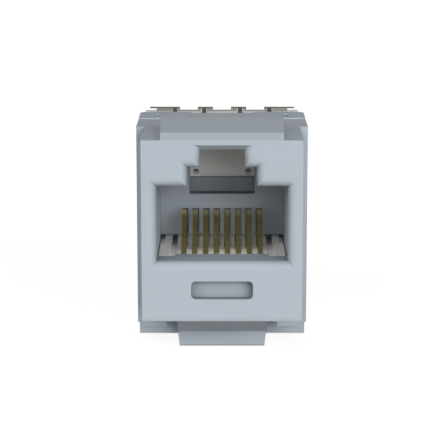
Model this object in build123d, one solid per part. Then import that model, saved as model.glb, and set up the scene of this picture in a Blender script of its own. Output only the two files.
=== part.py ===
from build123d import *
import os
from math import cos, radians, sin, tan

# Keystone jack with eight spring contacts and two rows of four wire terminals.
# Millimetres. The origin is the middle of the nose's front face. +Y runs from
# the face back into the jack, +X is to the right seen from the front, +Z is up.

os.makedirs("parts", exist_ok=True)

# Nose, the part that fills the panel's opening
nose_width = 14.6
nose_height = 16.6
nose_depth = 8.5
face_edge = 0.28
face_edge_depth = 0.05
side_edge = 0.06

# Fixed lip on top of the nose
lip_half_width = 5.53
lip_flare = 0.16
lip_front_height = 0.57
lip_front_length = 0.9
lip_height = 1.21
catch_edge = 0.1
panel_gap = 1.8

# Body behind the panel
body_width = 16.1
flange_drop = 2.3
skirt_drop = 2.05
skirt_setback = 3.5
wall = 1.2
body_edge = 0.64
shoulder_setback = 5.0
shoulder_start = 3.08
shoulder_height = 0.1
rear_rim = 0.7
window_length = 1.0
pocket_inset = 1.55
pocket_width = 0.45
pocket_length = 1.8
pocket_depth = 0.5
pocket_rim = 1.2
lug_inset = 0.49
lug_width = 2.31
lug_drop = 0.44

# Flexing latch under the nose
latch_root_width = 8.08
latch_width = 8.43
latch_root = 0.3
latch_thickness = 0.9
latch_catch_drop = 2.7
latch_catch_step = 0.8
tab_width = 9.1
tab_tip_width = 8.24
tab_drop = 5.34
tab_setback = 2.2
tab_thickness = 0.9
latch_side_gap = 0.4

# Port for the plug
port_width = 11.86
port_sill = 5.49
plug_height = 6.86
latch_step_width = 6.28
latch_step_rise = 1.74
latch_slot_width = 4.1
latch_slot_rise = 1.58
latch_ledge = 1.4
port_depth = 11.7
mouth_share = 0.55
slot_mouth_rise = 0.49
back_wall = 1.9
back_step_depth = 1.5
back_notch_drop = 2.75
back_step_rise = 1.38
guide_rise = 2.69
guide_depth = 0.9

# Plain recess in the face under the port
recess_width = 5.6
recess_height = 1.66
recess_radius = 0.42
recess_depth = 1.0
recess_below_port = 2.61

# Contact carrier
fit = 0.1
front_wall = 2.6
carrier_height = 4.39
comb_lip = 1.1
tongue_thickness = 1.2
comb_edge = 0.35
comb_grip_length = 2.9
comb_grip_gap = 0.02
channel_width = 0.57
channel_lip_depth = 0.1
channel_lip_length = 2.36
channel_ramp_length = 4.42
channel_ramp_depth = 0.4
channel_pocket_depth = 0.75
rail_notch_width = 0.35
rail_notch_length = 3.2
rail_notch_depth = 0.25
upright_gap = 0.2
upright_thickness = 1.0
peg_diameter = 0.95
peg_core = 0.65
peg_end = 0.2
peg_offset = 2.55
peg_rise = 5.87
peg_fit = 0.05
peg_ledge = 0.35

# Contact wires
contact_count = 8
contact_pitch = 1.016
contact_width = 0.46
contact_thickness = 0.3
contact_slot_gap = 0.08
contact_angle = 31
contact_tip_gap = 1.9
contact_tip_rise = 2.89
contact_tip_radius = 0.7
contact_low_run = 3.19
contact_high_run = 2.19
contact_tail = 0.7

# Circuit board
board_thickness = 1.2
contact_hole = 0.6
terminal_hole = 0.7

# Termination block
spigot_depth = 1.8
collar_inset = 0.43
core_inset = 0.77
block_length = 10.7
rim_length = 2.8
rim_below_top = 0.08
pad_height = 0.29
inner_wire = 1.8
outer_wire_inset = 2.1
wire_slot_width = 0.58
wire_slot_floor = 6.07
tower_wall = 0.75
tower_front_drop = 0.11
tower_rear_drop = 1.21
core_below_rim = 3.1
lead_in = 0.35
entry_wall = 2.25
entry_height = 6.2
entry_front_wall = 2.2
barb_width = 3.0
barb_height = 0.6
tail_pocket_depth = 1.0
tail_pocket_edge = 0.5

# Insulation-cutting terminals
fork_width = 1.5
fork_thickness = 0.4
fork_setback = 6.0
fork_top_drop = 1.1
fork_slot = 0.26
fork_slot_length = 2.6
fork_mouth = 0.7
fork_mouth_width = 1.0
pin_width = 0.44
pin_height = 0.4
fork_gap = 0.05

# Metal strip clipped over each row of wires
clip_thickness = 0.13
clip_width = 1.0
clip_end_gap = 0.42
inner_crest_near = 0.9
inner_crest_far = 0.62
outer_crest_near = 0.53
outer_crest_far = 1.65
crest_opening = 0.6
clip_tab_length = 0.3
clip_tongue_gap = 0.04
clip_tongue_length = 1.5

# Places worked out from the sizes above
top = nose_height / 2
bottom = -nose_height / 2
port_floor = bottom + port_sill
port_shoulder = port_floor + plug_height
step_top = port_shoulder + latch_step_rise
slot_top = step_top + latch_slot_rise
mouth_radius = mouth_share * (nose_width - port_width) / 2
cavity_front = port_depth + back_wall
upright_front = cavity_front + upright_gap
board_front = upright_front + upright_thickness
board_back = board_front + board_thickness
body_back = board_back + spigot_depth
flange_bottom = bottom - flange_drop
skirt_bottom = flange_bottom - skirt_drop
skirt_front = nose_depth + skirt_setback
cavity_half = body_width / 2 - wall
cavity_top = top - wall
cavity_bottom = skirt_bottom + wall
block_middle = (top + skirt_bottom) / 2
carrier_bottom = port_floor - carrier_height
carrier_half = port_width / 2 - fit
insert_half = cavity_half - fit
insert_top = cavity_top - fit
insert_bottom = cavity_bottom + fit
block_back = body_back + block_length
rim_back = body_back + rim_length
rim_top = top - rim_below_top
pad_top = rim_top + pad_height
pin_floor = rim_top - wire_slot_floor
collar_half = body_width / 2 - collar_inset
core_half = collar_half - core_inset
outer_wire = core_half - outer_wire_inset
crest_inner_start = inner_wire - inner_crest_near
crest_inner_end = inner_wire + inner_crest_far
crest_outer_start = outer_wire - outer_crest_near
crest_outer_end = outer_wire + outer_crest_far
clip_front = rim_back - clip_width
catch_y = nose_depth - panel_gap
contact_slot_half = contact_width / 2 + contact_slot_gap
comb_half = (contact_count - 1) / 2 * contact_pitch + contact_slot_half + comb_edge
comb_front = front_wall + comb_lip
fork_front = body_back + fork_setback
fork_top = rim_top - fork_top_drop


def block(x_range, y_range, z_range):
    """A box between two values on each axis."""
    size = [high - low for low, high in (x_range, y_range, z_range)]
    middle = [(high + low) / 2 for low, high in (x_range, y_range, z_range)]
    return Pos(*middle) * Box(*size)


def from_front(points, y_front, y_back):
    """An outline in X and Z carried from y_front back to y_back."""
    plane = Plane(origin=(0, y_front, 0), x_dir=(1, 0, 0), z_dir=(0, -1, 0))
    face = plane * make_face(Polyline(*points, close=True))
    return extrude(face, amount=y_front - y_back)


def from_side(points, half_width, x_middle=0):
    """An outline in Y and Z, half_width to each side of x_middle."""
    face = Plane.YZ * make_face(Polyline(*points, close=True))
    return Pos(x_middle, 0, 0) * extrude(face, amount=half_width, both=True)


def from_above(points, z_low, z_high):
    """An outline in X and Y carried up from z_low to z_high."""
    face = Plane.XY.offset(z_low) * make_face(Polyline(*points, close=True))
    return extrude(face, amount=z_high - z_low)


def both_sides(piece):
    """A piece and its mirror image across the jack's middle."""
    return piece + mirror(piece, about=Plane.YZ)


def both_rows(piece):
    """A piece and its mirror image in the lower row of terminals."""
    return piece + lower_row(piece)


def lower_row(piece):
    return mirror(piece, about=Plane.XY.offset(block_middle))


def contact_x(index):
    return (index - (contact_count - 1) / 2) * contact_pitch


def contact_run(index):
    """Height of a contact's buried run: neighbours take turns at two heights."""
    drop = contact_low_run if index % 2 else contact_high_run
    return port_floor - drop


# Housing


def nose_and_body():
    nose = from_side(
        [
            (0, bottom + face_edge),
            (0, top),
            (nose_depth + wall, top),
            (nose_depth + wall, bottom),
            (face_edge_depth, bottom),
        ],
        nose_width / 2,
    )
    body = from_side(
        [
            (nose_depth, top),
            (body_back, top),
            (body_back, skirt_bottom),
            (skirt_front, skirt_bottom),
            (skirt_front, flange_bottom),
            (nose_depth, flange_bottom),
        ],
        body_width / 2,
    )
    corners = body.edges().filter_by(Axis.Z).group_by(Axis.Y)[-1]
    body = fillet(corners, body_edge)
    face = nose.faces().sort_by(Axis.Y)[0]
    return chamfer(face.edges().filter_by(Axis.Z), side_edge) + body


def fixed_lip():
    """Wedge on top of the nose. The panel's edge drops in behind it."""
    lip = from_side(
        [
            (0, top - face_edge),
            (0, top),
            (lip_front_length, top + lip_front_height),
            (catch_y - catch_edge, top + lip_height),
            (catch_y, top + lip_height - catch_edge),
            (catch_y, top - face_edge),
        ],
        lip_half_width + lip_flare,
    )
    plan = from_above(
        [
            (-lip_half_width, 0),
            (lip_half_width, 0),
            (lip_half_width + lip_flare, catch_y),
            (-lip_half_width - lip_flare, catch_y),
        ],
        top - face_edge,
        top + lip_height,
    )
    return lip & plan


def shoulders():
    """Two low steps on the body's top, either side of its middle."""
    front = nose_depth + shoulder_setback
    step = block(
        (shoulder_start, body_width / 2), (front, body_back), (top - wall / 2, top + shoulder_height)
    )
    corner = step.edges().filter_by(Axis.Z).group_by(Axis.Y)[-1].sort_by(Axis.X)[-1]
    return both_sides(fillet(corner, body_edge))


def port():
    half = port_width / 2
    step = latch_step_width / 2
    slot = latch_slot_width / 2
    return from_front(
        [
            (-half, port_floor),
            (half, port_floor),
            (half, port_shoulder),
            (step, port_shoulder),
            (step, step_top),
            (slot, step_top),
            (slot, slot_top),
            (-slot, slot_top),
            (-slot, step_top),
            (-step, step_top),
            (-step, port_shoulder),
            (-half, port_shoulder),
        ],
        0,
        port_depth,
    )


def slot_mouth():
    """Flat lead-in on the slot's top edge, mitred into the rounded sides."""
    half = latch_slot_width / 2 + mouth_radius
    lead_in = from_side(
        [
            (-mouth_radius, slot_top + 2 * slot_mouth_rise),
            (mouth_radius, slot_top),
            (mouth_radius, slot_top - slot_mouth_rise),
            (-mouth_radius, slot_top - slot_mouth_rise),
        ],
        half,
    )
    post = Pos(half, mouth_radius, slot_top) * Cylinder(mouth_radius, 6 * slot_mouth_rise)
    return lead_in - both_sides(post)


def latch_pocket():
    """Room for the plug's latch behind the ledge, stepped down at the back wall."""
    notch_floor = port_shoulder - back_notch_drop
    step_back = port_depth + back_step_depth
    return from_side(
        [
            (latch_ledge, port_shoulder),
            (latch_ledge, slot_top),
            (cavity_front, slot_top),
            (cavity_front, notch_floor + back_step_rise),
            (step_back, notch_floor + back_step_rise),
            (step_back, notch_floor),
            (port_depth, notch_floor),
            (port_depth, port_shoulder),
        ],
        latch_step_width / 2,
    )


def carrier_tunnel():
    """Space for the carrier's floor, under a tongue that reaches back to the comb."""
    half = port_width / 2
    tunnel = block(
        (-half, half), (front_wall, cavity_front), (carrier_bottom - fit, port_floor + fit)
    )
    tongue = block(
        (-comb_half, comb_half),
        (front_wall, comb_front - fit),
        (port_floor - tongue_thickness, port_floor),
    )
    return tunnel - tongue


def rear_cavity():
    return block(
        (-cavity_half, cavity_half), (cavity_front, body_back), (cavity_bottom, cavity_top)
    )


def latch_bay():
    half = tab_width / 2 + latch_side_gap
    return block((-half, half), (nose_depth, skirt_front), (skirt_bottom, bottom))


def face_recess():
    height = port_floor - recess_below_port
    plane = Plane(origin=(0, 0, height), x_dir=(1, 0, 0), z_dir=(0, -1, 0))
    outline = plane * RectangleRounded(recess_width, recess_height, recess_radius)
    return extrude(outline, amount=-recess_depth)


def roof_pockets():
    """Two shallow pockets in the shoulders, near the body's rear edge."""
    outer = body_width / 2 - pocket_inset
    pocket_back = body_back - pocket_rim
    pocket = block(
        (outer - pocket_width, outer),
        (pocket_back - pocket_length, pocket_back),
        (top + shoulder_height - pocket_depth, top + wall),
    )
    return both_sides(pocket)


def side_windows():
    """The termination block's barbs snap into these."""
    window_back = body_back - rear_rim
    window = block(
        (cavity_half, body_width / 2),
        (window_back - window_length, window_back),
        (block_middle - barb_width / 2 - fit, block_middle + barb_width / 2 + fit),
    )
    return both_sides(window)


def flange_lugs():
    """Two lugs under the flange that the panel's rear face rests on."""
    outer = body_width / 2 - lug_inset
    lug = block(
        (outer - lug_width, outer),
        (nose_depth, skirt_front + wall / 2),
        (flange_bottom - lug_drop, flange_bottom + wall / 2),
    )
    return both_sides(lug)


def flexing_latch():
    """One arm from the nose's lower edge: ramp, catch, then the thumb tab."""
    catch_bottom = bottom - latch_catch_drop
    arm_bottom = catch_bottom + latch_catch_step
    arm_top = arm_bottom + latch_thickness
    slope = latch_catch_drop / (catch_y - latch_root)
    root_length = latch_thickness / slope + latch_root
    bend_y = latch_root + (bottom - arm_top) / slope + latch_thickness / slope
    tab_front = nose_depth + tab_setback
    tab_back = tab_front + tab_thickness
    arm = from_side(
        [
            (latch_root, bottom + face_edge),
            (latch_root, bottom),
            (catch_y - catch_edge, catch_bottom),
            (catch_y, catch_bottom + catch_edge),
            (catch_y, arm_bottom),
            (tab_back, arm_bottom),
            (tab_back, arm_top - latch_thickness / 3),
            (tab_back - latch_thickness / 2, arm_top),
            (bend_y, arm_top),
            (root_length, bottom),
            (root_length, bottom + face_edge),
        ],
        latch_width / 2,
    )
    plan = from_above(
        [
            (-latch_root_width / 2, latch_root),
            (latch_root_width / 2, latch_root),
            (latch_width / 2, catch_y),
            (latch_width / 2, tab_back),
            (-latch_width / 2, tab_back),
            (-latch_width / 2, catch_y),
        ],
        catch_bottom,
        bottom + face_edge,
    )
    tab = from_front(
        [
            (-tab_width / 2, arm_bottom + latch_thickness / 2),
            (-tab_tip_width / 2, bottom - tab_drop),
            (tab_tip_width / 2, bottom - tab_drop),
            (tab_width / 2, arm_bottom + latch_thickness / 2),
        ],
        tab_front,
        tab_back,
    )
    tip = tab.edges().filter_by(Axis.X).group_by(Axis.Z)[0]
    return (arm & plan) + fillet(tip, tab_thickness / 3)


def guide_slots():
    """Slots in the port's back wall that the contacts' tips spring back into."""
    slots = [
        block(
            (contact_x(index) - contact_slot_half, contact_x(index) + contact_slot_half),
            (port_depth, port_depth + guide_depth),
            (port_floor, port_floor + guide_rise),
        )
        for index in range(contact_count)
    ]
    return Part() + slots


def housing():
    body = nose_and_body() + fixed_lip() + shoulders() + flange_lugs()
    body = body - port() - latch_pocket()
    mouth = body.faces().sort_by(Axis.Y)[0].inner_wires()[0]
    edges = mouth.edges().sort_by(Axis.Z)[:-1]
    body = fillet(edges, mouth_radius)
    body = body - slot_mouth()
    body = body - carrier_tunnel() - rear_cavity() - latch_bay()
    body = body - face_recess() - roof_pockets() - side_windows() - guide_slots()
    return body + flexing_latch()


# Contact carrier


def comb_slot(index):
    """A contact's slot, open on top, that leaves through a hole in the upright."""
    floor = contact_run(index) - contact_thickness / 2
    roof = floor + contact_thickness + contact_slot_gap
    x = contact_x(index)
    outline = [
        (comb_front, floor),
        (board_front, floor),
        (board_front, roof),
        (upright_front, roof),
        (upright_front, port_floor),
        (comb_front, port_floor),
    ]
    grip = from_side(outline, contact_width / 2 + comb_grip_gap, x)
    free = block(
        (x - contact_slot_half, x + contact_slot_half),
        (comb_front + comb_grip_length, upright_front),
        (floor, port_floor),
    )
    return grip + free


def side_channel():
    """Channel beside the comb: a shallow lip, a ramp down, then a deep pocket."""
    ramp_front = front_wall + channel_lip_length
    ramp_back = ramp_front + channel_ramp_length
    return from_side(
        [
            (front_wall, port_floor),
            (front_wall, port_floor - channel_lip_depth),
            (ramp_front, port_floor - channel_lip_depth),
            (ramp_back, port_floor - channel_ramp_depth),
            (ramp_back, port_floor - channel_pocket_depth),
            (upright_front, port_floor - channel_pocket_depth),
            (upright_front, port_floor),
        ],
        channel_width / 2,
        comb_half + channel_width / 2,
    )


def peg(diameter, y_front, y_back):
    """Round bar at the place of the right-hand locating peg."""
    plane = Plane(origin=(peg_offset, y_front, port_floor + peg_rise), z_dir=(0, 1, 0))
    return extrude(plane * Circle(diameter / 2), amount=y_back - y_front)


def peg_bore():
    """Hollow of a peg: deep above, with a sloping ledge in its lower half."""
    bore_back = board_back - fit - peg_end
    middle = port_floor + peg_rise
    ledge = from_side(
        [
            (upright_front, middle - peg_core),
            (upright_front, middle - peg_core / 3),
            (upright_front + peg_ledge, middle),
            (bore_back + peg_end, middle),
            (bore_back + peg_end, middle - peg_core),
        ],
        peg_core,
        peg_offset,
    )
    return peg(peg_core, upright_front, bore_back) - ledge


def contact_carrier():
    sled = block(
        (-carrier_half, carrier_half), (front_wall, upright_front), (carrier_bottom, port_floor)
    )
    sled = sled - block(
        (-comb_half - fit, comb_half + fit),
        (front_wall, comb_front),
        (port_floor - tongue_thickness - fit, port_floor),
    )
    upright = block(
        (-insert_half, insert_half), (upright_front, board_front), (carrier_bottom, insert_top)
    )
    notch = block(
        (carrier_half - rail_notch_width, carrier_half),
        (port_depth - rail_notch_length, upright_front),
        (port_floor - rail_notch_depth, port_floor),
    )
    carrier = sled + upright - both_sides(side_channel() + notch)
    for index in range(contact_count):
        carrier = carrier - comb_slot(index)
    pegs = both_sides(peg(peg_diameter, board_front, board_back - fit))
    return carrier + pegs - both_sides(peg_bore())


# Contact wires


def contact_wire(index):
    """Straight tail, bend at the comb's front, then the spring up to its free end."""
    run = contact_run(index)
    slope = radians(contact_angle)
    tip_y = port_depth - contact_tip_gap
    tip_z = port_floor + contact_tip_rise
    bend_front = comb_front + contact_slot_gap + contact_thickness / 2
    corner_y = tip_y - (tip_z - run) / tan(slope)
    radius = (bend_front - corner_y) / (1 / tan(slope / 2) - 1)
    bend_y = bend_front + radius
    bend_z = run + radius
    bend_end = (bend_y - radius * sin(slope), bend_z + radius * cos(slope))
    tip_start_y = tip_y - contact_tip_radius * sin(slope)
    tip_start = (tip_start_y, tip_z - (tip_y - tip_start_y) * tan(slope))
    tip_centre_y = tip_start[0] + contact_tip_radius * sin(slope)
    tip_centre_z = tip_start[1] - contact_tip_radius * cos(slope)
    tip_end = (tip_centre_y, tip_centre_z + contact_tip_radius)
    tail = Line((board_back + contact_tail, run), (bend_y, run))
    bend = ThreePointArc((bend_y, run), (bend_front, bend_z), bend_end)
    spring = Line(bend_end, tip_start)
    tip_middle = (
        tip_centre_y - contact_tip_radius * sin(slope / 2),
        tip_centre_z + contact_tip_radius * cos(slope / 2),
    )
    tip = ThreePointArc(tip_start, tip_middle, tip_end)
    strip = Plane.YZ * trace([tail, bend, spring, tip], contact_thickness)
    wire = extrude(strip, amount=contact_width / 2, both=True)
    return Pos(contact_x(index), 0, 0) * wire


# Circuit board


def wire_places():
    """X of the four wires in a row, from left to right."""
    return (-outer_wire, -inner_wire, inner_wire, outer_wire)


def circuit_board():
    board = block(
        (-insert_half, insert_half), (board_front, board_back), (insert_bottom, insert_top)
    )
    drill = Plane(origin=(0, board_front, 0), x_dir=(1, 0, 0), z_dir=(0, -1, 0))
    for index in range(contact_count):
        circle = drill * Pos(contact_x(index), contact_run(index)) * Circle(contact_hole / 2)
        board = board - extrude(circle, amount=-board_thickness)
    for x in wire_places():
        circle = drill * Pos(x, pin_floor + pin_height / 2) * Circle(terminal_hole / 2)
        board = board - both_rows(extrude(circle, amount=-board_thickness))
    return board - both_sides(peg(peg_diameter + 2 * peg_fit, board_front, board_back))


# Termination block


def tower(x):
    """Two posts either side of a wire, sloping down towards the rear."""
    foot = rim_top - core_below_rim
    half = wire_slot_width / 2 + tower_wall
    return from_side(
        [
            (rim_back, foot),
            (block_back, foot),
            (block_back, rim_top - tower_rear_drop),
            (rim_back, rim_top - tower_front_drop),
        ],
        half,
        x,
    )


def wire_slot(x):
    """Slot for one wire, with a flared mouth behind the rim."""
    half = wire_slot_width / 2
    slot = block((x - half, x + half), (board_back, block_back), (pin_floor, pad_top))
    flare_foot = rim_top - tower_rear_drop - lead_in
    flare = from_front(
        [
            (x - half, flare_foot),
            (x + half, flare_foot),
            (x + half + lead_in, flare_foot + 3 * lead_in),
            (x + half + lead_in, pad_top),
            (x - half - lead_in, pad_top),
            (x - half - lead_in, flare_foot + 3 * lead_in),
        ],
        rim_back,
        block_back,
    )
    return slot + flare


def fork_pocket(x):
    half = fork_width / 2 + fork_gap
    return block(
        (x - half, x + half),
        (fork_front - fork_gap, fork_front + fork_thickness + fork_gap),
        (pin_floor, pad_top),
    )


def rim_pad(x_start, x_end):
    """Raised pad on the rim that the metal strip bends over."""
    return block(
        (x_start, x_end), (clip_front + clip_thickness, rim_back), (rim_top - pad_height, pad_top)
    )


def upper_row():
    """Everything that the block adds above its core for one row of wires."""
    rim = block((-collar_half, collar_half), (body_back, rim_back), (block_middle, rim_top))
    inner = rim_pad(crest_inner_start + clip_thickness, crest_inner_end - clip_thickness)
    outer = rim_pad(crest_outer_start + clip_thickness, crest_outer_end)
    row = rim + both_sides(inner + outer)
    for x in wire_places():
        row = row + tower(x)
    return row


def side_barb():
    """A wedge on each side of the spigot that snaps into the housing's window."""
    window_back = body_back - rear_rim
    outline = Polyline(
        (insert_half, window_back - window_length + fit),
        (insert_half + barb_height, window_back - fit),
        (insert_half, window_back - fit),
        close=True,
    )
    plane = Plane.XY.offset(block_middle - barb_width / 2)
    return both_sides(extrude(plane * make_face(outline), amount=barb_width))


def termination_block():
    foot = rim_top - core_below_rim
    spigot = block(
        (-insert_half, insert_half), (board_back, body_back), (insert_bottom, insert_top)
    )
    core = block(
        (-core_half, core_half),
        (body_back, block_back),
        (2 * block_middle - foot, foot),
    )
    body = spigot + core + both_rows(upper_row()) + side_barb()
    for x in wire_places():
        body = body - both_rows(wire_slot(x) + fork_pocket(x))
    entry = block(
        (entry_wall - core_half, core_half - entry_wall),
        (body_back + entry_front_wall, block_back),
        (block_middle - entry_height / 2, block_middle + entry_height / 2),
    )
    low = port_floor - contact_low_run - tail_pocket_edge
    high = port_floor - contact_high_run + tail_pocket_edge
    tails = block(
        (-comb_half, comb_half), (board_back, board_back + tail_pocket_depth), (low, high)
    )
    return body - entry - tails


# Insulation-cutting terminals


def idc_terminal(x):
    """Forked blade that stands across the wire, with a pin forward to the board."""
    half = fork_width / 2
    slot = fork_slot / 2
    mouth = fork_mouth_width / 2
    slot_foot = fork_top - fork_slot_length
    fork = from_front(
        [
            (x - half, pin_floor),
            (x + half, pin_floor),
            (x + half, fork_top),
            (x + mouth, fork_top),
            (x + slot, fork_top - fork_mouth),
            (x + slot, slot_foot),
            (x - slot, slot_foot),
            (x - slot, fork_top - fork_mouth),
            (x - mouth, fork_top),
            (x - half, fork_top),
        ],
        fork_front,
        fork_front + fork_thickness,
    )
    pin = block(
        (x - pin_width / 2, x + pin_width / 2),
        (board_front + fit, fork_front),
        (pin_floor, pin_floor + pin_height),
    )
    return fork + pin


# Metal strip


def crest_box(start, wire, end):
    """A crest's front wall with its opening, and a tongue down into the wire's slot."""
    t = clip_thickness
    height = (rim_top, pad_top + t / 2)
    front = (clip_front, clip_front + t)
    tongue_half = wire_slot_width / 2 - clip_tongue_gap
    tongue = block(
        (wire - tongue_half, wire + tongue_half),
        (rim_back - t, rim_back),
        (pad_top - clip_tongue_length, pad_top + t / 2),
    )
    near_wall = block((start, wire - crest_opening / 2), front, height)
    far_wall = block((wire + crest_opening / 2, end), front, height)
    return near_wall + far_wall + tongue


def wire_clip():
    """Thin strip over the rim, boxed over each pad, with a flat wing at each end."""
    t = clip_thickness
    clip_half_length = collar_half - clip_end_gap
    upper = [
        (crest_inner_start, rim_top + t),
        (crest_inner_start, pad_top + t),
        (crest_inner_end, pad_top + t),
        (crest_inner_end, rim_top + t),
        (crest_outer_start, rim_top + t),
        (crest_outer_start, pad_top + t),
        (clip_half_length, pad_top + t),
    ]
    lower = [
        (clip_half_length, pad_top),
        (crest_outer_start + t, pad_top),
        (crest_outer_start + t, rim_top),
        (crest_inner_end - t, rim_top),
        (crest_inner_end - t, pad_top),
        (crest_inner_start + t, pad_top),
        (crest_inner_start + t, rim_top),
    ]
    right = upper + lower
    left = [(-x, z) for x, z in reversed(right)]
    strip = from_front(right + left, clip_front, rim_back)
    boxes = crest_box(crest_inner_start, inner_wire, crest_inner_end)
    boxes += crest_box(crest_outer_start, outer_wire, crest_outer_end)
    tab = block(
        (crest_outer_end, crest_outer_end + t),
        (clip_front, clip_front + clip_tab_length),
        (rim_top, pad_top + t / 2),
    )
    return strip + both_sides(boxes + tab)


parts = {
    "housing": housing(),
    "contact_carrier": contact_carrier(),
    "circuit_board": circuit_board(),
    "termination_block": termination_block(),
    "wire_clip_top": wire_clip(),
    "wire_clip_bottom": lower_row(wire_clip()),
}
for index in range(contact_count):
    parts[f"contact_wire_{index + 1}"] = contact_wire(index)
for number, x in enumerate(wire_places(), start=1):
    parts[f"idc_terminal_{number}"] = idc_terminal(x)
    parts[f"idc_terminal_{number + 4}"] = lower_row(idc_terminal(x))

for name, piece in parts.items():
    export_step(piece, f"parts/{name}.step")
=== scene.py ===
import math

import bpy
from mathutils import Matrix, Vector


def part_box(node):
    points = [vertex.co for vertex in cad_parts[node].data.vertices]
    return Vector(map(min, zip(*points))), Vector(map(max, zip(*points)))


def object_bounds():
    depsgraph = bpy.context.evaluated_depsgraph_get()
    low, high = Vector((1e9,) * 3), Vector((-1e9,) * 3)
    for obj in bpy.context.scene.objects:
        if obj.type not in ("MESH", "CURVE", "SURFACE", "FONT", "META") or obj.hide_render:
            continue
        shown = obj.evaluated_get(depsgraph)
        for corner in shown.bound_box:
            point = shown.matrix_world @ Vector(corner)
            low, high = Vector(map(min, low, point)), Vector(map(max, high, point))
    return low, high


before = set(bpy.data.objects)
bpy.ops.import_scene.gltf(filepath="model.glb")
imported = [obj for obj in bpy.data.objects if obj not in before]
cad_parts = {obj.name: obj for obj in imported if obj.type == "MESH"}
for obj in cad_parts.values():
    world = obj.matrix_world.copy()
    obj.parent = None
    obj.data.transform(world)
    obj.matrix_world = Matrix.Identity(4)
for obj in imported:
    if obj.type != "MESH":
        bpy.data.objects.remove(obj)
cad_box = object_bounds()

bl_info = {
    "name": "Keystone jack",
    "version": (1, 0, 0),
    "blender": (4, 5, 0),
    "location": "View3D > Sidebar > Jack",
    "description": "Finishes for a snap-in modular jack, with its stage, lights and camera",
    "category": "Object",
}

CONTACTS = [f"contact_wire_{number}" for number in range(1, 9)]
TERMINALS = [f"idc_terminal_{number}" for number in range(1, 9)]
STRIPS = ["wire_clip_top", "wire_clip_bottom"]


# Settings


class PlasticSettings(bpy.types.PropertyGroup):
    """Colours and surface of the moulded pieces."""

    housing_colour: bpy.props.FloatVectorProperty(
        name="Housing colour",
        description="Pale grey-blue of the front moulding",
        subtype="COLOR",
        size=3,
        min=0,
        max=1,
        default=(0.478, 0.531, 0.586),
    )
    insert_colour: bpy.props.FloatVectorProperty(
        name="Insert colour",
        description="Warm white of the contact carrier and the termination block",
        subtype="COLOR",
        size=3,
        min=0,
        max=1,
        default=(0.95, 0.925, 0.895),
    )
    housing_roughness: bpy.props.FloatProperty(
        name="Housing roughness",
        description="How matt the front moulding is",
        subtype="FACTOR",
        min=0,
        max=1,
        default=0.6,
    )
    insert_roughness: bpy.props.FloatProperty(
        name="Insert roughness",
        description="How matt the white mouldings are",
        subtype="FACTOR",
        min=0,
        max=1,
        default=0.45,
    )
    grain_size: bpy.props.FloatProperty(
        name="Grain size",
        description="Spacing of the mould's fine texture",
        unit="LENGTH",
        min=0.00001,
        max=0.001,
        default=0.00012,
    )
    grain_depth: bpy.props.FloatProperty(
        name="Grain depth",
        description="Depth of the mould's fine texture",
        unit="LENGTH",
        min=0,
        max=0.0001,
        default=0.000002,
    )
    corner_shade_reach: bpy.props.FloatProperty(
        name="Cavity reach",
        # How far the painted shade reaches from a wall into the corner beside it, inside the port
        description="How far a wall darkens the corner beside it, inside the port",
        unit="LENGTH",
        min=0,
        max=0.01,
        default=0.008,
    )
    edge_radius: bpy.props.FloatProperty(
        name="Edge radius",
        description="Small radius that the mould leaves on every edge",
        unit="LENGTH",
        min=0,
        max=0.001,
        default=0.00006,
    )


class MetalSettings(bpy.types.PropertyGroup):
    """Colours of the contacts, terminals and strips."""

    gold_colour: bpy.props.FloatVectorProperty(
        name="Gold colour",
        description="Plating on the contacts' spring ends",
        subtype="COLOR",
        size=3,
        min=0,
        max=1,
        default=(0.68, 0.585, 0.23),
    )
    tip_highlight_colour: bpy.props.FloatVectorProperty(
        name="Tip colour",
        # Painted highlight on the contacts' tips
        description="Plating at the rubbed tips, where a plug presses",
        subtype="COLOR",
        size=3,
        min=0,
        max=1,
        default=(0.86, 0.765, 0.38),
    )
    tin_colour: bpy.props.FloatVectorProperty(
        name="Tin colour",
        description="Plating on the contacts' tails and on the wire terminals",
        subtype="COLOR",
        size=3,
        min=0,
        max=1,
        default=(0.62, 0.62, 0.60),
    )
    flat_light_colour: bpy.props.FloatVectorProperty(
        name="Strip colour",
        # Painted light on the flat faces of the strips over the wires
        description="Bright flat faces of the strips over the wires",
        subtype="COLOR",
        size=3,
        min=0,
        max=1,
        default=(0.95, 0.95, 0.93),
    )
    wall_shade_colour: bpy.props.FloatVectorProperty(
        name="Strip wall colour",
        # Painted shade on the upright walls of the strips
        description="Dull upright walls of the strips",
        subtype="COLOR",
        size=3,
        min=0,
        max=1,
        default=(0.22, 0.22, 0.2),
    )
    cut_colour: bpy.props.FloatVectorProperty(
        name="Strip edge colour",
        description="Dark cut edge of the sheet along the strips' outer faces",
        subtype="COLOR",
        size=3,
        min=0,
        max=1,
        default=(0.09, 0.09, 0.083),
    )
    sheet_thickness: bpy.props.FloatProperty(
        name="Sheet thickness",
        description="Thickness of the strips' sheet, as its cut edge shows it",
        unit="LENGTH",
        min=0,
        max=0.001,
        default=0.0001,
    )
    margin: bpy.props.FloatProperty(
        # Dark front margin
        name="Dull margin",
        # Width of the band along the strips' front edge where the flat faces take the dark edge
        # colour instead of their painted light
        description="Width of the dull margin that shearing leaves along the strips' front edge",
        unit="LENGTH",
        min=0,
        max=0.001,
        default=0.0002,
    )
    highlight_height: bpy.props.FloatProperty(
        name="Tip height",
        # Height above which the contacts' tips get the painted highlight
        description="Height above which the contacts are rubbed bright",
        unit="LENGTH",
        default=-0.0004,
    )
    plating_end: bpy.props.FloatProperty(
        name="Plating end",
        description="Distance behind the face at which the gold gives way to tin",
        unit="LENGTH",
        min=0,
        max=0.03,
        default=0.0125,
    )


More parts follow.
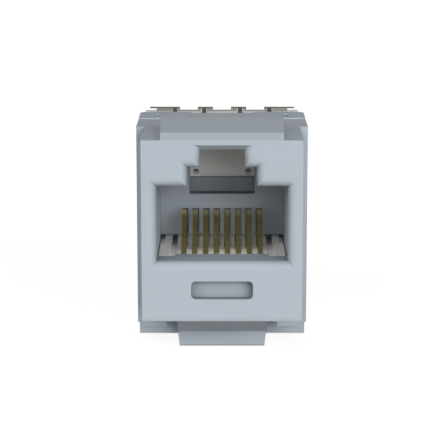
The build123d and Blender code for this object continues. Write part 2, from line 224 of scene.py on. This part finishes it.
class StageSettings(bpy.types.PropertyGroup):
    """Camera, lights and floor."""

    pitch: bpy.props.FloatProperty(
        name="Camera pitch",
        description="How far the camera looks down",
        subtype="ANGLE",
        default=math.radians(11.5),
    )
    distance: bpy.props.FloatProperty(
        name="Camera distance",
        description="From the camera to the middle of the picture on the jack's face",
        unit="LENGTH",
        default=0.155,
    )
    target_height: bpy.props.FloatProperty(
        name="Target height",
        description="Height on the jack's face that the camera looks at",
        unit="LENGTH",
        default=0.00095,
    )
    lens: bpy.props.FloatProperty(
        name="Lens",
        description="Focal length in millimetres",
        default=140.4,
    )
    shift: bpy.props.FloatProperty(
        name="Camera shift",
        description="Sideways shift of the picture, in picture widths",
        default=-0.0012,
    )
    key_strength: bpy.props.FloatProperty(
        name="Key light",
        description="Strength of the main light, from the front right",
        default=2.58,
    )
    fill_strength: bpy.props.FloatProperty(
        name="Fill light",
        description="Strength of the softer light, from the front left",
        default=1.36,
    )
    back_strength: bpy.props.FloatProperty(
        name="Back light",
        description="Strength of the low light from behind",
        default=1.3,
    )
    sky_strength: bpy.props.FloatProperty(
        name="Sky",
        description="Strength of the even light from all round",
        default=0.1,
    )
    floor_grey: bpy.props.FloatProperty(
        name="Floor grey",
        description="Share of the light that the floor throws back at the jack",
        subtype="FACTOR",
        min=0,
        max=1,
        default=0.3,
    )
    floor_glow: bpy.props.FloatProperty(
        name="Floor glow",
        description="Added white of the floor as the camera sees it",
        min=0,
        max=1,
        default=0.9,
    )


class JackSettings(bpy.types.PropertyGroup):
    """All settings of the jack."""

    plastic: bpy.props.PointerProperty(type=PlasticSettings)
    metal: bpy.props.PointerProperty(type=MetalSettings)
    stage: bpy.props.PointerProperty(type=StageSettings)


# Node helpers


FLOAT = "NodeSocketFloat"
VECTOR = "NodeSocketVector"


def add_node(tree, kind, inputs=None, **values):
    """Adds a node, sets its values, and links or sets its inputs."""
    made = tree.nodes.new(kind)
    for name, value in values.items():
        setattr(made, name, value)
    for socket, value in (inputs or {}).items():
        if isinstance(value, bpy.types.NodeSocket):
            tree.links.new(value, made.inputs[socket])
        else:
            made.inputs[socket].default_value = value
    return made


def calculate(tree, operation, *values):
    """The result of a maths node on one, two or three values."""
    made = add_node(tree, "ShaderNodeMath", dict(enumerate(values)), operation=operation)
    return made.outputs["Value"]


def calculate_vector(tree, operation, first, second):
    """The vector that a vector maths node makes of two."""
    made = add_node(tree, "ShaderNodeVectorMath", {0: first, 1: second}, operation=operation)
    return made.outputs["Vector"]


def separate(tree, vector):
    """The X, Y and Z outputs of a vector."""
    return add_node(tree, "ShaderNodeSeparateXYZ", {"Vector": vector}).outputs


def remap(tree, value, old_range, new_range, **values):
    """A value carried from one range to another, and held at the new range's ends."""
    inputs = {
        "Value": value,
        "From Min": old_range[0],
        "From Max": old_range[1],
        "To Min": new_range[0],
        "To Max": new_range[1],
    }
    return add_node(tree, "ShaderNodeMapRange", inputs, **values).outputs["Result"]


def step_up(tree, value, start, width):
    """0 below start, 1 above start + width, and a smooth change between."""
    return remap(tree, value, (start, start + width), (0, 1), interpolation_type="SMOOTHSTEP")


def noise(tree, point, scale, detail, roughness):
    """Noise from 0 to 1. Scale is in features per metre."""
    inputs = {"Vector": point, "Scale": scale, "Detail": detail, "Roughness": roughness}
    return add_node(tree, "ShaderNodeTexNoise", inputs).outputs["Fac"]


def bump_normal(tree, height, depth, normal=None, strength=1.0):
    """A normal that follows a fine texture, laid over another normal if one is given."""
    inputs = {"Height": height, "Distance": depth, "Strength": strength}
    if normal:
        inputs["Normal"] = normal
    return add_node(tree, "ShaderNodeBump", inputs).outputs["Normal"]


def scaled_colour(tree, colour, factor):
    """A colour made lighter or darker by a factor that changes over the surface."""
    inputs = {0: colour, "Scale": factor}
    made = add_node(tree, "ShaderNodeVectorMath", inputs, operation="SCALE")
    return made.outputs["Vector"]


def mixed(tree, mask, first, second):
    """The first colour where the mask is 0 and the second where it is 1."""
    mix = add_node(tree, "ShaderNodeMix", {"Factor": mask}, data_type="RGBA")
    for socket, colour in ((6, first), (7, second)):
        if isinstance(colour, bpy.types.NodeSocket):
            tree.links.new(colour, mix.inputs[socket])
        else:
            mix.inputs[socket].default_value = tuple(colour) + (1.0,)
    return mix.outputs[2]


def object_point(tree):
    """A place on the piece, in the piece's own metres."""
    return tree.nodes.new("ShaderNodeTexCoord").outputs["Object"]


def new_group(name, inputs, outputs):
    """Starts a shader node group with float or vector sockets."""
    tree = bpy.data.node_groups.new(name, "ShaderNodeTree")
    for in_out, sockets in (("INPUT", inputs), ("OUTPUT", outputs)):
        for label, kind in sockets:
            tree.interface.new_socket(name=label, in_out=in_out, socket_type=kind)
    return tree, tree.nodes.new("NodeGroupInput"), tree.nodes.new("NodeGroupOutput")


def place_group(tree, name, build, inputs):
    """Puts a shared group in a material, built on its first use. Returns its outputs."""
    group = bpy.data.node_groups.get(name) or build(name)
    return add_node(tree, "ShaderNodeGroup", inputs, node_tree=group).outputs


def new_material(name):
    material = bpy.data.materials.new(name)
    material.use_nodes = True
    tree = material.node_tree
    tree.nodes.clear()
    return material, tree


def finish_material(tree, inputs):
    """The material's one shader, with its output."""
    shader = add_node(tree, "ShaderNodeBsdfPrincipled", inputs)
    add_node(tree, "ShaderNodeOutputMaterial", {"Surface": shader.outputs["BSDF"]})


# Shared effects


MASK = (0.0, 1.0)
SLOW_SCALE = 140.0
SLOW_RANGE = (0.3, 0.7)
TONE_CHANGE = (0.985, 1.015)
GLOSS_CHANGE = (-0.03, 0.03)
EDGE_MATCH = (1.0, 0.8)
EDGE_SAMPLES = 4
LINE_RANGE = (0.25, 0.75)
LINE_TONE = (0.9, 1.06)
BLOT_SCALE = 1300.0
BLOT_RANGE = (0.8, 1.2)
BOX_FADE = 0.0003
CAVITY_SAMPLES = 8


def moulded_grain_group(name):
    """Fine texture of a spark-eroded mould, and slow changes in tone and gloss."""
    tree, start, end = new_group(
        name,
        [("Point", VECTOR), ("Grain scale", FLOAT)],
        [("Height", FLOAT), ("Tone", FLOAT), ("Gloss", FLOAT)],
    )
    point = start.outputs["Point"]
    fine = noise(tree, point, start.outputs["Grain scale"], detail=3.0, roughness=0.6)
    slow = noise(tree, point, SLOW_SCALE, detail=2.0, roughness=0.5)
    tree.links.new(fine, end.inputs["Height"])
    tree.links.new(remap(tree, slow, SLOW_RANGE, TONE_CHANGE), end.inputs["Tone"])
    tree.links.new(remap(tree, slow, SLOW_RANGE, GLOSS_CHANGE), end.inputs["Gloss"])
    return tree


def soft_edge_group(name):
    """Rounded normals at the edges, and a mask of where the edges are."""
    tree, start, end = new_group(name, [("Radius", FLOAT)], [("Normal", VECTOR), ("Edge", FLOAT)])
    radius = {"Radius": start.outputs["Radius"]}
    rounded = add_node(tree, "ShaderNodeBevel", radius, samples=EDGE_SAMPLES).outputs["Normal"]
    flat = tree.nodes.new("ShaderNodeNewGeometry").outputs["Normal"]
    match = add_node(tree, "ShaderNodeVectorMath", {0: rounded, 1: flat}, operation="DOT_PRODUCT")
    tree.links.new(rounded, end.inputs["Normal"])
    tree.links.new(remap(tree, match.outputs["Value"], EDGE_MATCH, MASK), end.inputs["Edge"])
    return tree


def drawn_lines_group(name):
    """Fine lines that rolling or drawing leaves. Stretch is their scale along each axis."""
    tree, start, end = new_group(
        name, [("Point", VECTOR), ("Stretch", VECTOR)], [("Height", FLOAT), ("Tone", FLOAT)]
    )
    stretched = calculate_vector(
        tree, "MULTIPLY", start.outputs["Point"], start.outputs["Stretch"]
    )
    lines = noise(tree, stretched, scale=1.0, detail=4.0, roughness=0.65)
    tree.links.new(lines, end.inputs["Height"])
    tree.links.new(remap(tree, lines, LINE_RANGE, LINE_TONE), end.inputs["Tone"])
    return tree


def tarnish_group(name):
    """Irregular patches where plating has dulled. A higher share makes them larger."""
    tree, start, end = new_group(
        name, [("Point", VECTOR), ("Share", FLOAT)], [("Mask", FLOAT)]
    )
    blots = noise(tree, start.outputs["Point"], BLOT_SCALE, detail=3.0, roughness=0.6)
    level = calculate(tree, "ADD", blots, start.outputs["Share"])
    tree.links.new(remap(tree, level, BLOT_RANGE, MASK), end.inputs["Mask"])
    return tree


def corner_shade_group(name):
    """Painted shade: a factor below 1 from ambient occlusion in the corners inside a box, and 1
    outside the box.
    """
    tree, start, end = new_group(
        name,
        [
            ("Point", VECTOR),
            ("Low corner", VECTOR),
            ("High corner", VECTOR),
            ("Reach", FLOAT),
            ("Shade", FLOAT),
        ],
        [("Tone", FLOAT)],
    )
    point = start.outputs["Point"]
    past_low = calculate_vector(tree, "SUBTRACT", point, start.outputs["Low corner"])
    before_high = calculate_vector(tree, "SUBTRACT", start.outputs["High corner"], point)
    room = separate(tree, calculate_vector(tree, "MINIMUM", past_low, before_high))
    least = calculate(
        tree, "MINIMUM", calculate(tree, "MINIMUM", room["X"], room["Y"]), room["Z"]
    )
    inside = step_up(tree, least, 0.0, BOX_FADE)
    reach = {"Distance": start.outputs["Reach"]}
    open_sky = add_node(
        tree, "ShaderNodeAmbientOcclusion", reach, samples=CAVITY_SAMPLES, only_local=True
    )
    hidden = calculate(tree, "SUBTRACT", 1.0, open_sky.outputs["AO"])
    shade = calculate(tree, "MULTIPLY", inside, start.outputs["Shade"])
    loss = calculate(tree, "MULTIPLY", hidden, shade)
    tree.links.new(calculate(tree, "SUBTRACT", 1.0, loss), end.inputs["Tone"])
    return tree


# Materials


# Painted highlight: how much paler the edges of moulded plastic are made.
EDGE_HIGHLIGHT = 0.05
FRONT_MARGIN = 0.001
METAL_EDGE_RADIUS = 0.00003
STAIN_DULLING = 0.12
PLATING_FADE = 0.0004
TIP_METALLIC = 0.7
FACING_UP = 0.6
FACING_FADE = 0.2
CUT_EDGE_FADE = 0.00001
MARGIN_FADE = 0.00002
STRIP_ROUGHNESS = (0.45, 0.16)
BOARD_GREEN = (0.035, 0.17, 0.075)
WEAVE_SCALE = 2500.0
LACQUER_SCALE = 3000.0


def moulded_plastic(name, colour, roughness, shine, shade, plastic):
    """Moulded plastic with a fine grain, slightly rounded edges and a painted highlight along
    them.

    Shade is how strongly painted shade darkens the corners inside the port.
    """
    material, tree = new_material(name)
    point = object_point(tree)
    grain = place_group(
        tree,
        "Moulded grain",
        moulded_grain_group,
        {"Point": point, "Grain scale": 1 / plastic.grain_size},
    )
    edge = place_group(tree, "Soft edge", soft_edge_group, {"Radius": plastic.edge_radius})
    # Painted highlight along the edges, on top of the grain's tone.
    tone = calculate(tree, "MULTIPLY_ADD", edge["Edge"], EDGE_HIGHLIGHT, grain["Tone"])
    # Painted shade: ambient occlusion darkens the housing's corners inside the port.
    if shade:
        port_low, port_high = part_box("contact_carrier")
        corner_shade = place_group(
            tree,
            "Painted corner shade",
            corner_shade_group,
            {
                "Point": point,
                "Low corner": (port_low[0], cad_box[0][1] - FRONT_MARGIN, port_low[2]),
                "High corner": port_high,
                "Reach": plastic.corner_shade_reach,
                "Shade": shade,
            },
        )
        tone = calculate(tree, "MULTIPLY", tone, corner_shade["Tone"])
    finish_material(
        tree,
        {
            "Base Color": scaled_colour(tree, colour, tone),
            "Roughness": calculate(tree, "ADD", roughness, grain["Gloss"]),
            "Normal": bump_normal(tree, grain["Height"], plastic.grain_depth, edge["Normal"]),
            "Specular IOR Level": shine,
        },
    )
    return material


def metal_finish(tree, colour, roughness, stretch, depth, stain, stain_share, polish=1.0):
    """Plated or rolled metal with fine lines along it, faint stains and softened edges."""
    point = object_point(tree)
    lines = place_group(
        tree, "Drawn lines", drawn_lines_group, {"Point": point, "Stretch": stretch}
    )
    patches = place_group(tree, "Tarnish", tarnish_group, {"Point": point, "Share": stain_share})
    edge = place_group(tree, "Soft edge", soft_edge_group, {"Radius": METAL_EDGE_RADIUS})
    stained = mixed(tree, patches["Mask"], colour, stain)
    dulled = calculate(tree, "MULTIPLY_ADD", patches["Mask"], STAIN_DULLING, roughness)
    finish_material(
        tree,
        {
            "Base Color": scaled_colour(tree, stained, lines["Tone"]),
            "Metallic": polish,
            "Roughness": dulled,
            "Normal": bump_normal(tree, lines["Height"], depth, edge["Normal"]),
        },
    )


def contact_metal(metal):
    """Olive-gold plating with a painted highlight on the tips, giving way to tin behind the port.
    """
    material, tree = new_material("Gold-plated spring wire")
    place = separate(tree, object_point(tree))
    # Painted highlight: the tips above a height get a brighter colour.
    tip = step_up(tree, place["Z"], metal.highlight_height, PLATING_FADE)
    tail = step_up(tree, place["Y"], metal.plating_end, PLATING_FADE)
    gold = mixed(tree, tip, metal.gold_colour, metal.tip_highlight_colour)
    metal_finish(
        tree,
        mixed(tree, tail, gold, metal.tin_colour),
        roughness=0.38,
        stretch=(9000.0, 900.0, 900.0),
        depth=0.0000008,
        stain=(0.55, 0.48, 0.20),
        stain_share=0.4,
        polish=remap(tree, tip, MASK, (1.0, TIP_METALLIC)),
    )
    return material


def terminal_metal(metal):
    """Tin over bronze, with dull patches."""
    material, tree = new_material("Tin-plated bronze")
    metal_finish(
        tree,
        metal.tin_colour,
        roughness=0.36,
        stretch=(900.0, 900.0, 6000.0),
        depth=0.000001,
        stain=(0.45, 0.44, 0.40),
        stain_share=0.4,
    )
    return material


def strip_metal(metal):
    """Rolled strip: painted light on the flat faces, except a dark margin along the front edge,
    and painted shade in olive-grey on the upright walls, darkest along the sheet's cut edge.
    """
    material, tree = new_material("Rolled strip metal")
    normal = tree.nodes.new("ShaderNodeNewGeometry").outputs["Normal"]
    facing = calculate(tree, "ABSOLUTE", separate(tree, normal)["Z"])
    # Painted light: faces that point up or down get the bright colour, and the upright walls get
    # painted shade.
    flat = step_up(tree, facing, FACING_UP, FACING_FADE)
    place = separate(tree, object_point(tree))
    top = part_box("wire_clip_top")[1][2]
    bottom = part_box("wire_clip_bottom")[0][2]
    middle = (top + bottom) / 2
    away = calculate(tree, "ABSOLUTE", calculate(tree, "SUBTRACT", place["Z"], middle))
    cut = step_up(tree, away, top - middle - metal.sheet_thickness, CUT_EDGE_FADE)
    upright = mixed(tree, cut, metal.wall_shade_colour, metal.cut_colour)
    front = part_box("wire_clip_top")[0][1]
    # The flat faces' front margin takes the dark edge colour instead of the painted light.
    inside = step_up(tree, place["Y"], front + metal.margin, MARGIN_FADE)
    painted_lit = calculate(tree, "MULTIPLY", flat, inside)
    metal_finish(
        tree,
        mixed(tree, painted_lit, upright, metal.flat_light_colour),
        roughness=remap(tree, painted_lit, MASK, STRIP_ROUGHNESS),
        stretch=(700.0, 9000.0, 9000.0),
        depth=0.0000006,
        stain=(0.30, 0.30, 0.27),
        stain_share=0.12,
    )
    return material


def laminate_board():
    """Green glass-fibre board under a thin lacquer that shows the weave."""
    material, tree = new_material("Green laminate board")
    point = object_point(tree)
    weave = add_node(
        tree,
        "ShaderNodeTexChecker",
        {"Vector": point, "Color1": (1, 1, 1, 1), "Color2": (0, 0, 0, 1), "Scale": WEAVE_SCALE},
    ).outputs["Fac"]
    grain = place_group(
        tree,
        "Moulded grain",
        moulded_grain_group,
        {"Point": point, "Grain scale": LACQUER_SCALE},
    )
    finish_material(
        tree,
        {
            "Base Color": scaled_colour(tree, BOARD_GREEN, grain["Tone"]),
            "Roughness": 0.35,
            "Normal": bump_normal(tree, weave, depth=0.000004, strength=0.6),
        },
    )
    return material


def dress(nodes, material):
    """Gives CAD nodes a better material in their own slots."""
    for name in nodes:
        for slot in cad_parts[name].material_slots:
            slot.material = material


# Operators


class JACK_OT_housing(bpy.types.Operator):
    """Finish the grey-blue housing"""

    bl_idname = "jack.housing"
    bl_label = "Finish housing"

    def execute(self, context):
        plastic = context.scene.jack.plastic
        material = moulded_plastic(
            "Housing plastic",
            plastic.housing_colour,
            plastic.housing_roughness,
            shine=0.12,
            shade=0.6,
            plastic=plastic,
        )
        dress(["housing"], material)
        return {"FINISHED"}


class JACK_OT_inserts(bpy.types.Operator):
    """Finish the contact carrier and the termination block"""

    bl_idname = "jack.inserts"
    bl_label = "Finish white inserts"

    def execute(self, context):
        plastic = context.scene.jack.plastic
        material = moulded_plastic(
            "Warm white plastic",
            plastic.insert_colour,
            plastic.insert_roughness,
            shine=0.5,
            shade=0.0,
            plastic=plastic,
        )
        dress(["contact_carrier", "termination_block"], material)
        return {"FINISHED"}


class JACK_OT_contacts(bpy.types.Operator):
    """Finish the eight contact wires"""

    bl_idname = "jack.contacts"
    bl_label = "Finish contact wires"

    def execute(self, context):
        dress(CONTACTS, contact_metal(context.scene.jack.metal))
        return {"FINISHED"}


class JACK_OT_terminals(bpy.types.Operator):
    """Finish the eight forked terminals"""

    bl_idname = "jack.terminals"
    bl_label = "Finish wire terminals"

    def execute(self, context):
        dress(TERMINALS, terminal_metal(context.scene.jack.metal))
        return {"FINISHED"}


class JACK_OT_strips(bpy.types.Operator):
    """Finish the metal strips over the wires"""

    bl_idname = "jack.strips"
    bl_label = "Finish metal strips"

    def execute(self, context):
        dress(STRIPS, strip_metal(context.scene.jack.metal))
        return {"FINISHED"}


class JACK_OT_board(bpy.types.Operator):
    """Finish the circuit board"""

    bl_idname = "jack.board"
    bl_label = "Finish circuit board"

    def execute(self, context):
        dress(["circuit_board"], laminate_board())
        return {"FINISHED"}


# Stage


FLOOR_WIDTH = 4
NEAREST_SEEN = 0.005


def seen_directly(tree):
    """1 for rays from the camera, a reflection or glass, and 0 for light on a surface."""
    path = tree.nodes.new("ShaderNodeLightPath")
    seen = path.outputs["Is Camera Ray"]
    for ray in ("Is Glossy Ray", "Is Transmission Ray"):
        seen = calculate(tree, "MAXIMUM", seen, path.outputs[ray])
    return seen


def white_floor_material(stage):
    """White where the lights reach it, soft grey in the jack's shadow, clear from below."""
    material, tree = new_material("White floor")
    grey = stage.floor_grey
    matt = add_node(tree, "ShaderNodeBsdfDiffuse", {"Color": (grey, grey, grey, 1)})
    level = calculate(tree, "MULTIPLY", seen_directly(tree), stage.floor_glow)
    glow = add_node(tree, "ShaderNodeEmission", {"Color": (1, 1, 1, 1), "Strength": level})
    lit = add_node(
        tree, "ShaderNodeAddShader", {0: matt.outputs["BSDF"], 1: glow.outputs["Emission"]}
    )
    clear = tree.nodes.new("ShaderNodeBsdfTransparent")
    side = tree.nodes.new("ShaderNodeNewGeometry")
    sides = add_node(
        tree,
        "ShaderNodeMixShader",
        {"Fac": side.outputs["Backfacing"], 1: lit.outputs["Shader"], 2: clear.outputs["BSDF"]},
    )
    add_node(tree, "ShaderNodeOutputMaterial", {"Surface": sides.outputs["Shader"]})
    return material


def white_sky(strength):
    """Even light, and plain white where the camera or a reflection sees it."""
    world = bpy.data.worlds.new("White sky")
    bpy.context.scene.world = world
    world.use_nodes = True
    tree = world.node_tree
    tree.nodes.clear()
    level = remap(tree, seen_directly(tree), MASK, (strength, 1.0))
    background = add_node(
        tree, "ShaderNodeBackground", {"Color": (1, 1, 1, 1), "Strength": level}
    )
    add_node(tree, "ShaderNodeOutputWorld", {"Surface": background.outputs["Background"]})


def soft_light(name, strength, azimuth, elevation, spread):
    """A wide distant light, with its angles in degrees. Azimuth turns from the front to +X."""
    bpy.ops.object.light_add(type="SUN")
    light = bpy.context.object
    light.name = name
    light.data.angle = math.radians(spread)
    light.data.energy = strength
    turn = math.radians(azimuth)
    towards = Vector((math.sin(turn), -math.cos(turn), math.tan(math.radians(elevation))))
    light.rotation_euler = towards.to_track_quat("Z", "Y").to_euler()
    return light


class JACK_OT_stage(bpy.types.Operator):
    """Add the floor, the lights and the camera"""

    bl_idname = "jack.stage"
    bl_label = "Set the stage"

    def execute(self, context):
        settings = context.scene.jack.stage
        bpy.ops.object.select_all(action="DESELECT")
        bpy.ops.mesh.primitive_plane_add(size=FLOOR_WIDTH, location=(0, 0, cad_box[0][2]))
        floor = context.object
        floor.name = "floor"
        floor.data.materials.append(white_floor_material(settings))
        white_sky(settings.sky_strength)
        soft_light("Key light", settings.key_strength, azimuth=29, elevation=10, spread=44)
        soft_light("Fill light", settings.fill_strength, azimuth=-34, elevation=20, spread=60)
        back_light = soft_light(
            "Back light", settings.back_strength, azimuth=180, elevation=0, spread=15
        )
        back_light.visible_glossy = False
        target = Vector((0, 0, settings.target_height))
        back = Vector((0, -math.cos(settings.pitch), math.sin(settings.pitch)))
        bpy.ops.object.camera_add(
            location=target + settings.distance * back,
            rotation=(math.pi / 2 - settings.pitch, 0, 0),
        )
        camera = context.object
        camera.data.lens = settings.lens
        camera.data.shift_x = settings.shift
        camera.data.clip_start = NEAREST_SEEN
        context.scene.camera = camera
        context.scene.view_settings.view_transform = "Standard"
        return {"FINISHED"}


class JACK_PT_panel(bpy.types.Panel):
    """Buttons and settings in the sidebar"""

    bl_label = "Keystone jack"
    bl_idname = "JACK_PT_panel"
    bl_space_type = "VIEW_3D"
    bl_region_type = "UI"
    bl_category = "Jack"

    def draw(self, context):
        layout = self.layout
        for step in STEPS:
            layout.operator(step)
        settings = context.scene.jack
        for group in (settings.plastic, settings.metal, settings.stage):
            box = layout.box()
            for name in group.bl_rna.properties.keys():
                if name not in ("rna_type", "name"):
                    box.prop(group, name)


STEPS = [
    "jack.stage",
    "jack.housing",
    "jack.inserts",
    "jack.contacts",
    "jack.terminals",
    "jack.strips",
    "jack.board",
]
CLASSES = [
    PlasticSettings,
    MetalSettings,
    StageSettings,
    JackSettings,
    JACK_OT_housing,
    JACK_OT_inserts,
    JACK_OT_contacts,
    JACK_OT_terminals,
    JACK_OT_strips,
    JACK_OT_board,
    JACK_OT_stage,
    JACK_PT_panel,
]


def register():
    for cls in CLASSES:
        bpy.utils.register_class(cls)
    bpy.types.Scene.jack = bpy.props.PointerProperty(type=JackSettings)


def unregister():
    del bpy.types.Scene.jack
    for cls in reversed(CLASSES):
        bpy.utils.unregister_class(cls)


def main():
    register()
    bpy.ops.jack.stage()
    bpy.ops.jack.housing()
    bpy.ops.jack.inserts()
    bpy.ops.jack.contacts()
    bpy.ops.jack.terminals()
    bpy.ops.jack.strips()
    bpy.ops.jack.board()


if __name__ == "__main__":
    main()
